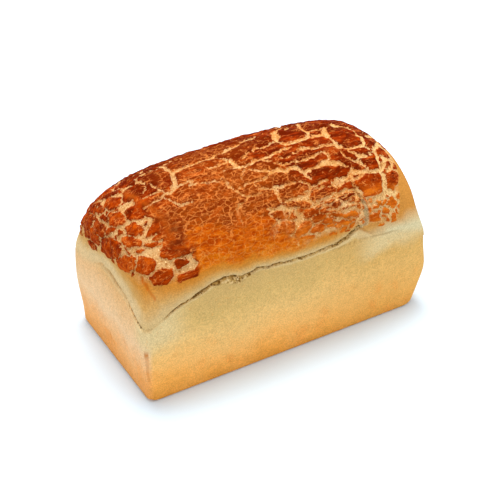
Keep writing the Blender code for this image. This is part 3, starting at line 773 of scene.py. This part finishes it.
class Bench:
    def __init__(self, tree):
        self.tree = tree
        self.here = self.add("ShaderNodeTexCoord").outputs["Object"]

    def add(self, kind, ins=None, **settings):
        node = self.tree.nodes.new(kind)
        for key, value in settings.items():
            setattr(node, key, value)
        for key, value in (ins or {}).items():
            if isinstance(value, bpy.types.NodeSocket):
                self.tree.links.new(value, node.inputs[key])
            else:
                node.inputs[key].default_value = value
        return node

    def number(self, name):
        return self.add("ShaderNodeAttribute", attribute_name=name).outputs["Fac"]

    def sums(self, kind, a, b=0.0):
        return self.add("ShaderNodeMath", {0: a, 1: b}, operation=kind).outputs[0]

    def times(self, a, b):
        return self.sums("MULTIPLY", a, b)

    def plus(self, a, b):
        return self.sums("ADD", a, b)

    def minus(self, a, b):
        return self.sums("SUBTRACT", a, b)

    def ease(self, value, low, high, start=0.0, end=1.0, kind="SMOOTHSTEP"):
        return self.add("ShaderNodeMapRange", {
            "Value": value, "From Min": low, "From Max": high, "To Min": start, "To Max": end},
            interpolation_type=kind).outputs["Result"]

    def squeezed(self, place, share):
        return self.add("ShaderNodeMapping", {
            "Vector": place, "Scale": (share, 1.0, 1.0)}).outputs["Vector"]

    def blend(self, share, a, b, kind="MIX"):
        a, b = (paint(*side) if isinstance(side, tuple) else side for side in (a, b))
        return self.add("ShaderNodeMix", {0: share, 6: a, 7: b}, data_type="RGBA",
                        blend_type=kind).outputs[2]

    def tell(self, what):
        print(what, "done, with", len(self.tree.nodes), "nodes so far")

    def tint(self, base, share, strength, colour):
        return self.blend(self.times(share, strength), base, colour)

    def noise(self, place, scale, detail=3.0, rough=0.55):
        return self.add("ShaderNodeTexNoise", {"Vector": place, "Scale": scale, "Detail": detail,
                                               "Roughness": rough}).outputs["Fac"]

    def spots(self, scale, low, high, detail=3.0, rough=0.55):
        return self.ease(self.noise(self.here, scale, detail, rough), low, high)

    def steps(self, value, stops):
        node = self.add("ShaderNodeValToRGB", {"Fac": value})
        marks = node.color_ramp.elements
        while len(marks) < len(stops):
            marks.new(0.5)
        for mark, (at, *colour) in zip(marks, stops):
            mark.position = at
            mark.color = paint(*colour)
        return node.outputs["Color"]


# %% [markdown]
# ## The crust
# One material runs over the whole loaf, because the loaf is one piece and its
# finishes melt into each other. It is built up as a baker would see it: wall,
# bare dome, paste. The wall is golden at the foot, palest in the middle and
# dull below the tear, where the dullness is painted shade under the dome's rim.
# Above the tear the dough is cream, then golden. On the paste, plates are
# red-brown with hairlines, and cracks show the pale dough.

# %% Start the crust material
crust = bpy.data.materials.new("baked_crust")
crust.use_nodes = True
b = Bench(crust.node_tree)
shader = crust.node_tree.nodes["Principled BSDF"]
shader.inputs["Roughness"].default_value = 0.75
shader.inputs["Specular IOR Level"].default_value = 0.012
here = b.here
long_way = b.squeezed(here, 0.30)
along_now, across_now, height_now = b.add("ShaderNodeSeparateXYZ", {"Vector": here}).outputs
slow = b.noise(here, 26.0, 2.0)
patchy = b.noise(here, 95.0, 3.0)
fine_grain = b.noise(here, 900.0, 4.0, 0.65)
coarse_grain = b.noise(here, 200.0, 2.0)
grain = b.plus(b.times(fine_grain, 0.82), b.times(coarse_grain, 0.18))
pores = b.add("ShaderNodeTexVoronoi", {"Vector": here, "Scale": 270.0}).outputs["Distance"]
pits = b.times(b.ease(pores, 0.16, 0.04), b.ease(coarse_grain, 0.52, 0.66))
b.tell("noise fields")

# %% [markdown]
# ## Walls and bare dome
# A wall takes its colour from the tin, so it changes with height. A ramp over
# height does that, and slow noise added to the height keeps the bands from
# looking ruled. Just below the tear the front wall's ramp turns dull, which is
# painted shade under the dome's rim. The bare dome is the same over the height
# above its tear.

# %% Colour of the walls
wiggle = b.times(b.minus(slow, 0.5), 0.030)
wall_height = b.plus(height_now, wiggle)
wall_share = b.ease(wall_height, 0.0, 0.088, kind="LINEAR")
# the two top stops, dull olive-tan just below the tear, are painted shade under the dome's rim
front_wall = b.steps(wall_share, [
    (0.00, 224, 150, 62), (0.12, 240, 168, 82), (0.32, 240, 181, 104),
    (0.55, 230, 185, 114), (0.78, 211, 173, 105), (1.0, 202, 165, 102)])
end_wall = b.steps(wall_share, [
    (0.00, 224, 150, 76), (0.22, 236, 172, 108), (0.50, 233, 193, 147),
    (0.85, 224, 176, 120), (1.0, 216, 172, 118)])
wall_colour = b.blend(b.number("left_end"), front_wall, end_wall)
golden = b.times(b.number("right_side"), 0.45)
wall_colour = b.blend(golden, wall_colour, (216, 160, 78))
pale_top = b.times(b.ease(b.number("right_side"), 0.62, 0.95), b.ease(wall_height, 0.060, 0.076))
pale_near = b.times(b.number("near_corner"), b.ease(wall_height, 0.034, 0.062))
palest = b.sums("MAXIMUM", pale_top, pale_near)
wall_colour = b.tint(wall_colour, palest, 0.85, (220, 194, 142))
scorch = b.times(b.spots(60.0, 0.50, 0.72), b.ease(wall_height, 0.060, 0.020))
wall_colour = b.tint(wall_colour, scorch, 0.35, (232, 142, 58))
freckle = b.spots(330.0, 0.54, 0.72, rough=0.7)
wall_colour = b.tint(wall_colour, freckle, 0.26, (216, 138, 58))
# the corner mark is scorch; in the pinholes the same darker orange-brown is painted shade inside
# them
marked = b.times(b.number("corner_mark"), b.ease(fine_grain, 0.40, 0.60, 0.60, 1.0))
wall_colour = b.blend(marked, wall_colour, (184, 100, 8))
b.tell("walls")

# %% Colour of the bare dome, from the tear upwards
rise = b.plus(b.number("above_line"), b.times(b.minus(patchy, 0.5), 6.0))
rise = b.ease(rise, 0.0, 26.0, kind="LINEAR")
bare = b.steps(rise, [
    (0.00, 208, 172, 114), (0.10, 208, 174, 120), (0.27, 204, 156, 90),
    (0.45, 201, 134, 56), (0.66, 202, 122, 36), (1.0, 194, 112, 30)])
strip = b.blend(b.ease(wall_height, 0.081, 0.095), (214, 198, 154), (198, 134, 59))
bare = b.blend(b.ease(b.number("right_side"), 0.70, 0.97), bare, strip)
low_left = b.times(b.number("left_cream"), b.ease(rise, 0.26, 0.02))
bare = b.tint(bare, low_left, 0.8, (220, 190, 142))
sharp = b.ease(b.number("above_line"), 0.3, -0.3)
soft_edge = b.ease(b.number("above_line"), 3.5, -5.0)
on_wall = b.blend(b.ease(b.number("torn"), 0.50, 0.95), soft_edge, sharp)
dough = b.blend(on_wall, bare, wall_colour)
# darker olive-brown in the soft crease: painted shade in its hollow, over the dent in the mesh
dough = b.tint(dough, b.number("crease"), 0.50, (158, 118, 64))
b.tell("bare dome")

# %% [markdown]
# ## Plates, cracks and hairlines
# A mesh fine enough for torn paste would be far too heavy. So the shader adds
# noise to the stored depth and cuts where the sum passes zero, which frays each
# edge. Hairlines are a broken Voronoi net where the paste was thin, and long
# fibres elsewhere.

# %% Where a plate ends, with torn fibres
depth_now = b.number("plate_depth")
teeth = b.minus(b.noise(long_way, 700.0, 4.0, 0.65), 0.54)
bites = b.minus(b.noise(here, 480.0, 4.0, 0.7), 0.54)
edge = b.plus(depth_now, b.plus(b.times(teeth, 2.2), b.times(bites, 3.0)))
on_plate = b.ease(edge, -0.16, 0.16)
b.tell("plate edges")

# %% Colour of the cracks
# next to a plate the crack is darker orange-brown, paler in its middle: the darker band is painted
# shade along the raised plate edge
crack = b.blend(b.ease(edge, -0.1, -1.1), (204, 122, 54), (214, 158, 94))
crack = b.blend(b.ease(patchy, 0.45, 0.75), crack, (216, 175, 120))
crack = b.blend(b.ease(along_now, 0.066, 0.090, 0.0, 0.60), crack, (226, 190, 128))
crack = b.blend(b.ease(patchy, 0.50, 0.28), crack, (206, 138, 70))
crack = b.blend(b.ease(along_now, -0.050, -0.070, 0.0, 0.55), crack, (198, 154, 102))
crack = b.blend(b.spots(620.0, 0.50, 0.64, rough=0.7), crack, (168, 104, 46))
crack = b.blend(b.spots(780.0, 0.56, 0.68, rough=0.7), crack, (250, 208, 150))
b.tell("cracks")

# %% Hairlines, long and fibrous
push = b.add("ShaderNodeTexNoise", {"Vector": here, "Scale": 240.0, "Detail": 2.0}).outputs["Color"]
push = b.add("ShaderNodeVectorMath", {0: push, "Scale": 0.0032}, operation="SCALE").outputs[0]


def pushed(place):
    return b.add("ShaderNodeVectorMath", {0: place, 1: push}, operation="ADD").outputs[0]


fibre_way = b.squeezed(pushed(long_way), 0.42)
net_way = b.squeezed(pushed(here), 0.56)
netted = b.number("netted")


def fibres(way, scale, width):
    ridge = b.sums("ABSOLUTE", b.minus(b.noise(way, scale, 2.0, 0.5), 0.5))
    return b.ease(ridge, width, width * 0.25)


cells = b.add("ShaderNodeTexVoronoi", {"Vector": net_way, "Scale": 310.0},
              feature="DISTANCE_TO_EDGE").outputs["Distance"]
where_net = b.plus(b.noise(here, 110.0, 2.0), b.times(netted, 0.20))
broken = b.spots(300.0, 0.36, 0.50, rough=0.6)
web = b.times(b.ease(cells, 0.095, 0.025), broken)
curls = b.times(fibres(net_way, 300.0, 0.018), 0.45)
net = b.times(b.sums("MAXIMUM", web, curls), b.ease(where_net, 0.54, 0.64))
thread = b.times(fibres(fibre_way, 300.0, 0.016), b.spots(170.0, 0.40, 0.52, 2.0))
hair = b.sums("MAXIMUM", net, b.times(thread, 0.85))
b.tell("hairlines")

# %% Colour of the plates
dark = b.noise(long_way, 230.0, 4.0, 0.62)
toned = b.plus(b.times(dark, 1.06), b.times(b.number("plate_tone"), 0.10))
toned = b.plus(toned, b.times(b.minus(slow, 0.5), 0.20))
toned = b.minus(toned, b.times(netted, 0.06))
toned = b.plus(toned, b.ease(along_now, -0.084, -0.106, -0.15, -0.035))
# painted shade: plates darken towards the far skyline, where the dome turns away, and towards the
# top, which the overhead lamp would light more than the sides; the hairlines fade at the top as
# well
toned = b.minus(toned, b.ease(across_now, -0.014, 0.012, 0.0, 0.07))
high = b.ease(height_now, 0.112, 0.146)
toned = b.minus(toned, b.times(high, 0.06))
plate = b.steps(toned, [
    (0.30, 102, 24, 0), (0.42, 138, 40, 1), (0.54, 164, 57, 2), (0.74, 200, 84, 8)])
# painted shade: each plate is darker just inside its edge, where the raised step shades it
painted_rim_shade = b.times(b.ease(edge, 1.1, 0.2), b.ease(patchy, 0.40, 0.62))
plate = b.tint(plate, painted_rim_shade, 0.40, (96, 24, 1))
orange = b.blend(b.ease(dark, 0.35, 0.65), (184, 76, 8), (216, 116, 26))
plate = b.tint(plate, b.number("thin_paste"), 0.85, orange)
plate = b.blend(b.times(hair, b.ease(high, 0.0, 1.0, 0.84, 0.70)), plate, (220, 130, 60))
b.tell("plates")

# %% Colour of the washed shoulder
lower = b.ease(b.number("above_line"), 42.0, 16.0)
mesh_lines = b.times(b.sums("MAXIMUM", web, curls), b.ease(lower, 0.9, 0.2, 0.65, 1.0))
skin_tone = b.plus(b.times(b.noise(long_way, 330.0, 4.0, 0.68), 0.8), b.times(lower, 0.16))
smooth_skin = b.steps(skin_tone, [
    (0.32, 160, 58, 2), (0.45, 192, 86, 4), (0.55, 204, 102, 10), (0.68, 214, 122, 30)])
line_colour = b.blend(lower, (216, 132, 54), (222, 152, 78))
smooth_skin = b.tint(smooth_skin, mesh_lines, 0.55, line_colour)
flecks = b.times(b.spots(260.0, 0.55, 0.66, 4.0, 0.7), b.ease(lower, 0.5, 1.0))
flecks = b.times(flecks, b.ease(along_now, -0.036, -0.010, 0.10, 0.65))
smooth_skin = b.blend(flecks, smooth_skin, (216, 164, 96))
b.tell("washed shoulder")

# %% [markdown]
# ## One skin out of the layers
# The layers go over each other as the real ones do: dough, paste, the places
# where paste was washed or rubbed thin, then the smear in the fold and the drip.
# The fold's groove is also darkened, as painted shade.
# The tear comes last. Its groove in the mesh casts some shadow, and the shader
# paints it dark brown as well: partly painted shade in the groove, partly the
# loaf's brown inside. The brown lies in pits and not in a line, so noise breaks
# it up.

# %% Put the crust together
crack = b.blend(b.number("bare_cream"), bare, crack)
pasted = b.blend(on_plate, crack, plate)
thin = b.plus(b.number("washed"), b.times(b.minus(b.noise(here, 200.0, 4.0), 0.5), 1.2))
smooth_skin = b.blend(b.ease(b.number("bare_cream"), 0.0, 0.75), bare, smooth_skin)
pasted = b.blend(b.ease(thin, 0.30, 0.85), pasted, smooth_skin)
rubbed_off = b.times(b.number("rubbed"), b.ease(patchy, 0.35, 0.60, 0.30, 0.65))
pasted = b.blend(rubbed_off, pasted, (186, 86, 18))
smoky = b.ease(b.noise(long_way, 210.0, 4.0, 0.65), 0.40, 0.60, 0.15, 0.75)
smoky = b.times(b.number("smoke"), smoky)
pasted = b.blend(smoky, pasted, (100, 34, 6))
skin = b.blend(b.ease(b.number("paste"), 0.15, 0.45), dough, pasted)
smear = b.ease(b.plus(b.number("fold_pale"), b.minus(patchy, 0.5)), 0.20, 0.80, 0.0, 0.75)
smear_colour = b.blend(b.ease(fine_grain, 0.42, 0.60), (166, 142, 98), (206, 180, 132))
skin = b.blend(smear, skin, smear_colour)
# painted shade: the fold's groove is darkened olive-brown
painted_fold_shade = b.times(b.number("fold"), b.ease(fine_grain, 0.42, 0.58, 0.35, 0.85))
skin = b.blend(painted_fold_shade, skin, (122, 88, 42))
dripped = b.times(b.number("drip"), b.ease(fine_grain, 0.40, 0.60, 0.45, 0.95))
skin = b.blend(dripped, skin, (180, 88, 16))
b.tell("layers")

# %% The dark, ragged tear
line_wave = b.times(b.minus(b.noise(here, 330.0, 3.0), 0.5), 3.0)
tear_at = b.plus(b.number("above_tear"), line_wave)
crumb = b.blend(b.spots(330.0, 0.42, 0.60, rough=0.6), (180, 138, 74), (222, 186, 128))
holes = b.noise(here, 400.0, 4.0, 0.65)
holes = b.plus(holes, b.ease(b.number("above_tear"), -0.2, 0.5, 0.0, 0.10))
# the holes in the crumb are dark brown: painted shade inside them
crumb = b.blend(b.ease(holes, 0.50, 0.60), crumb, (112, 74, 26))
skin = b.blend(b.number("crumby"), skin, crumb)
# the dark brown in the groove is partly painted shade and partly the brown of the torn inside
tear_shade_and_crumb = b.times(b.ease(tear_at, 0.9, 0.4), b.ease(tear_at, -0.9, -0.4))
pitted = b.plus(b.noise(here, 250.0, 3.0, 0.6), b.ease(along_now, -0.034, -0.016, 0.05, 0.0))
tear_shade_and_crumb = b.times(tear_shade_and_crumb, b.ease(pitted, 0.46, 0.58))
tear_shade_and_crumb = b.times(tear_shade_and_crumb, b.number("torn"))
# the cream lip below the tear is partly the pale crumbly edge of the wall and partly a painted
# highlight where it sticks out
skin = b.tint(skin, b.number("lip"), 0.60, (222, 194, 142))
tear_shade_crumb_colour = b.blend(b.spots(480.0, 0.40, 0.60, 2.0), (84, 56, 20), (158, 120, 60))
skin = b.tint(skin, tear_shade_and_crumb, 0.85, tear_shade_crumb_colour)
b.tell("tear")

# %% Grain and pits over all
speck = b.ease(grain, 0.30, 0.70, 0.80, 1.18)
speck = b.add("ShaderNodeCombineColor", {0: speck, 1: speck, 2: speck}).outputs[0]
skin = b.blend(1.0, skin, speck, "MULTIPLY")
# the pores are tinted darker: painted shade inside them, besides their dent in the bump
skin = b.tint(skin, pits, 0.35, (150, 96, 40))
crust.node_tree.links.new(skin, shader.inputs["Base Color"])
relief = b.plus(b.times(grain, 0.6), b.times(pits, -0.8))
relief = b.plus(relief, b.times(b.times(hair, on_plate), -0.5))
bump = b.add("ShaderNodeBump", {"Height": relief, "Strength": 0.35, "Distance": 0.0006})
crust.node_tree.links.new(bump.outputs["Normal"], shader.inputs["Normal"])
loaf.data.materials.append(crust)
b.tell("crust")

# %% [markdown]
# ## In place of the solid
# The physics keeps the plain solid. In the picture the dressed loaf takes its
# place and moves with the same body.

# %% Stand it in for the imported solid
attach(loaf, "root")
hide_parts("tin_loaf")
print(loaf.name, "stands in for tin_loaf")

# %% [markdown]
# ## Floor, light and camera
# The loaf stands on a plain pale floor under soft light from all round, with
# one large lamp overhead, a little behind it, which draws the soft shadow in
# front. The floor is a shade blue, to take out the warm light that the bread
# throws on it. The camera looks down at the front and the left end, a metre
# away, through a long lens.

# %% Floor
bpy.ops.object.select_all(action="DESELECT")
bpy.ops.mesh.primitive_plane_add(size=8.0, location=(0.0, 0.0, -0.0001))
floor = bpy.context.active_object
floor.name = "floor"
floor_paint = bpy.data.materials.new("floor_white")
floor_paint.use_nodes = True
floor_shader = floor_paint.node_tree.nodes["Principled BSDF"].inputs
floor_shader["Base Color"].default_value = (0.76, 0.89, 1.0, 1.0)
floor_shader["Roughness"].default_value = 0.9
floor.data.materials.append(floor_paint)
print("floor", floor.dimensions[:])

# %% Light
world = bpy.data.worlds.new("soft_room")
scene.world = world
world.use_nodes = True
world.node_tree.nodes["Background"].inputs["Color"].default_value = (1.0, 1.0, 1.0, 1.0)
world.node_tree.nodes["Background"].inputs["Strength"].default_value = 0.95
bpy.ops.object.light_add(type="AREA", location=(0.10, 0.30, 1.6))
lamp = bpy.context.active_object
lamp.name = "window_light"
lamp.data.shape = "DISK"
lamp.data.size = 0.8
lamp.data.energy = 19.0
lamp.rotation_euler = (Vector((0.0, 0.0, 0.06)) - lamp.location).to_track_quat("-Z", "Y").to_euler()
print("lamp of", lamp.data.energy, "watts")

# %% Camera
FILM, LENS_PIXELS, FRAME_PIXELS, CAMERA_AWAY = 36.0, 1242.19, 500.0, 1.0
turn, tilt = math.radians(-30.525), math.radians(35.197)
aim = Vector((0.0043, 0.0099, 0.05))
back = Vector((math.sin(turn) * math.cos(tilt), -math.cos(turn) * math.cos(tilt), math.sin(tilt)))
camera_data = bpy.data.cameras.new("camera")
camera_data.sensor_width = FILM
camera_data.lens = FILM * LENS_PIXELS / FRAME_PIXELS
camera = bpy.data.objects.new("camera", camera_data)
scene.collection.objects.link(camera)
camera.location = aim + back * CAMERA_AWAY
camera.rotation_euler = (-back).to_track_quat("-Z", "Y").to_euler()
scene.camera = camera
scene.view_settings.view_transform = "Standard"
print("camera at", [round(c, 3) for c in camera.location], "lens %.1f mm" % camera_data.lens)
